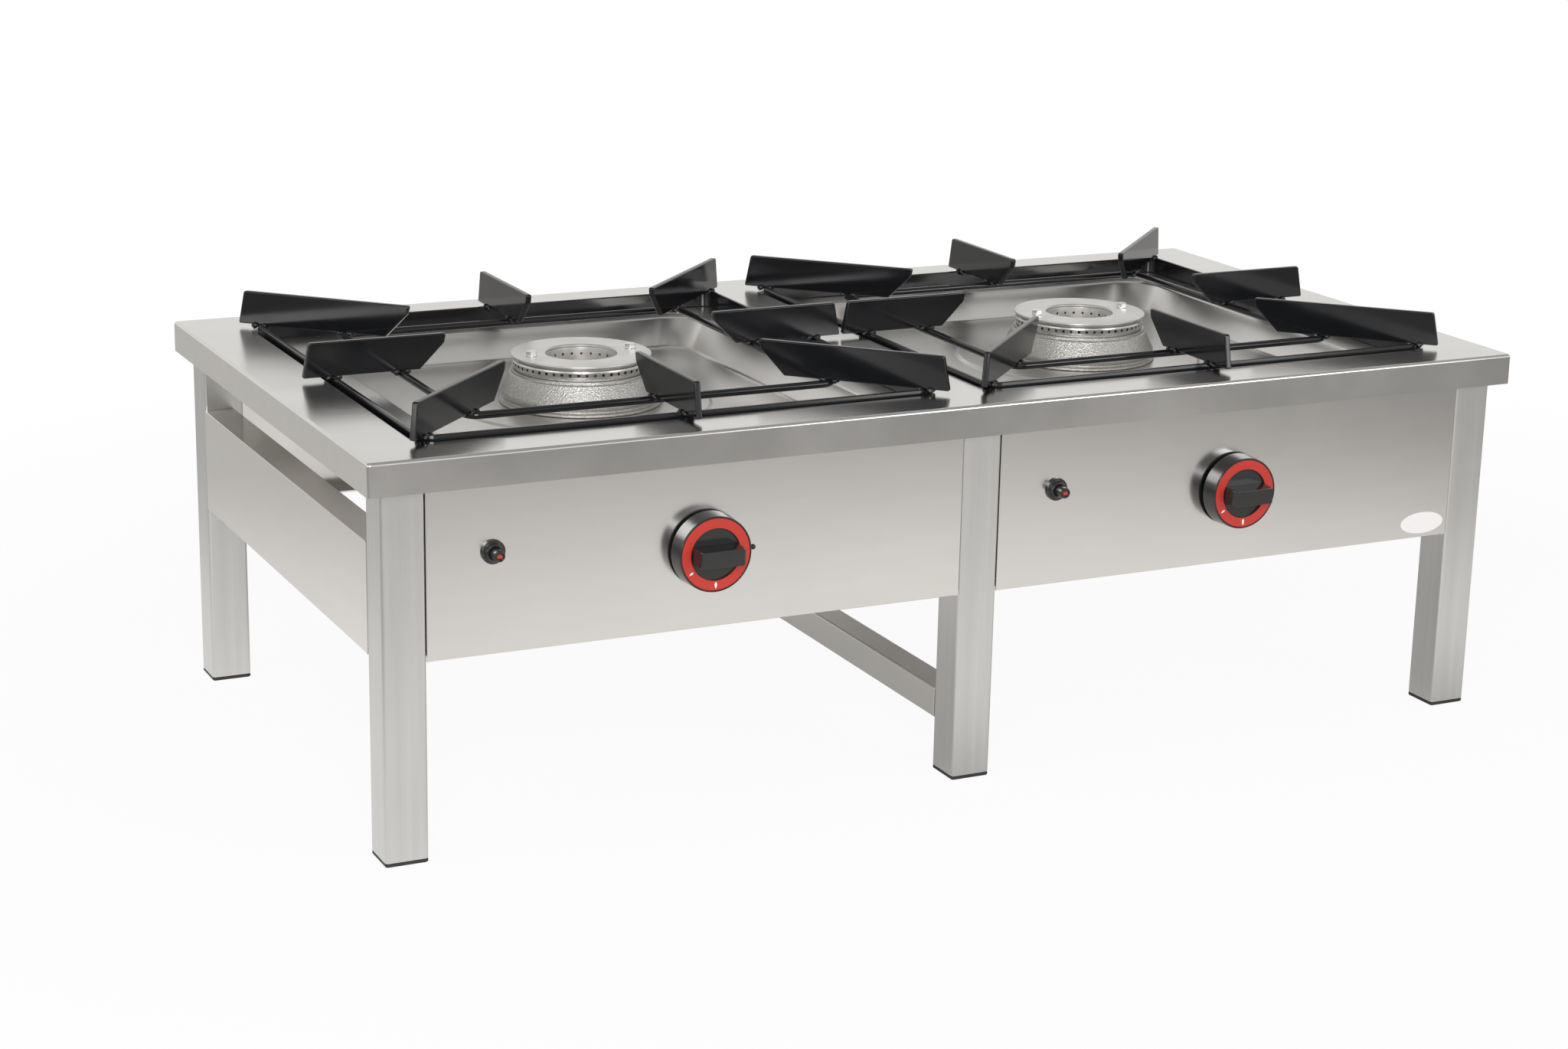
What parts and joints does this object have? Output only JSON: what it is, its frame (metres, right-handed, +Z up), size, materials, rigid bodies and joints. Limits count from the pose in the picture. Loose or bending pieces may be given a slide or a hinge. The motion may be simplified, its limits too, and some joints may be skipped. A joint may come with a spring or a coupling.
{
  "type": "stock pot range",
  "caption": "Low free-standing gas range for stock pots: stainless table on square legs, stepped wells with cast ring burners, finned pan supports, front knobs and push igniters.",
  "frame": {"origin": "on the floor under the middle of the table, halfway between the knob fronts and the gas inlet", "axes": "+X to the right seen from the front, +Y to the back, +Z up"},
  "size_m": [1.2, 0.671, 0.407],
  "materials": {
    "stainless": "satin stainless sheet",
    "tube": "satin stainless tube",
    "enamel": "glossy black vitreous enamel",
    "casting": "rough cast",
    "machined": "machined",
    "zinc": "zinc plated",
    "brass": "machined",
    "steel_pipe": "drawn pipe",
    "black_plastic": "glossy black",
    "red_print": "bright red",
    "ceramic": "glazed ceramic",
    "foot_plastic": "black plug foot"
  },
  "bodies": {
    "table": {"tabletop": "stainless", "cross_tube": "tube", "gas_rail": "steel_pipe", "gas_inlet": "brass", "leg_front_left": "tube", "foot_front_left": "foot_plastic", "leg_front_middle": "tube", "foot_front_middle": "foot_plastic", "leg_front_right": "tube", "foot_front_right": "foot_plastic", "leg_back_left": "tube", "foot_back_left": "foot_plastic", "leg_back_middle": "tube", "foot_back_middle": "foot_plastic", "leg_back_right": "tube", "foot_back_right": "foot_plastic", "front_panel_left": "stainless", "back_panel_left": "stainless", "side_panel_left": "stainless", "burner_base_left": "casting", "burner_port_ring_left": "machined", "burner_cover_left": "machined", "burner_bolt_a_left": "zinc", "burner_bolt_b_left": "zinc", "mixing_tube_left": "casting", "injector_left": "brass", "supply_pipe_left": "steel_pipe", "gas_tap_left": "brass", "pilot_burner_left": "brass", "spark_electrode_left": "ceramic", "thermocouple_left": "steel_pipe", "igniter_body_left": "black_plastic", "front_panel_right": "stainless", "back_panel_right": "stainless", "side_panel_right": "stainless", "burner_base_right": "casting", "burner_port_ring_right": "machined", "burner_cover_right": "machined", "burner_bolt_a_right": "zinc", "burner_bolt_b_right": "zinc", "mixing_tube_right": "casting", "injector_right": "brass", "supply_pipe_right": "steel_pipe", "gas_tap_right": "brass", "pilot_burner_right": "brass", "spark_electrode_right": "ceramic", "thermocouple_right": "steel_pipe", "igniter_body_right": "black_plastic"},
    "spindle_left": {"tap_spindle_left": "steel_pipe"},
    "knob_left": {"knob_left": "black_plastic", "dial_ring_left": "red_print", "knob_screw_left": "black_plastic"},
    "button_left": {"igniter_button_left": "black_plastic"},
    "pan_support_left": {"pan_support_left": "enamel"},
    "spindle_right": {"tap_spindle_right": "steel_pipe"},
    "knob_right": {"knob_right": "black_plastic", "dial_ring_right": "red_print"},
    "button_right": {"igniter_button_right": "black_plastic"},
    "pan_support_right": {"pan_support_right": "enamel"}
  },
  "joints": [
    {"name": "knob_turn_left", "type": "hinge", "parent": "table", "child": "spindle_left", "pos_m": [-0.281, -0.2965, 0.259], "axis": [0, -1, 0], "range_deg": [0, 180]},
    {"name": "knob_push_left", "type": "slide", "parent": "spindle_left", "child": "knob_left", "axis": [0, 1, 0], "range_m": [0, 0.003], "stiffness_N_per_m": 800},
    {"name": "igniter_push_left", "type": "slide", "parent": "table", "child": "button_left", "axis": [0, 1, 0], "range_m": [0, 0.006], "stiffness_N_per_m": 500},
    {"name": "pan_support_lift_left", "type": "slide", "parent": "table", "child": "pan_support_left", "axis": [0, 0, 1], "range_m": [0, 0.08]},
    {"name": "knob_turn_right", "type": "hinge", "parent": "table", "child": "spindle_right", "pos_m": [0.281, -0.2965, 0.259], "axis": [0, -1, 0], "range_deg": [0, 180]},
    {"name": "knob_push_right", "type": "slide", "parent": "spindle_right", "child": "knob_right", "axis": [0, 1, 0], "range_m": [0, 0.003], "stiffness_N_per_m": 800},
    {"name": "igniter_push_right", "type": "slide", "parent": "table", "child": "button_right", "axis": [0, 1, 0], "range_m": [0, 0.006], "stiffness_N_per_m": 500},
    {"name": "pan_support_lift_right", "type": "slide", "parent": "table", "child": "pan_support_right", "axis": [0, 0, 1], "range_m": [0, 0.08]}
  ]
}
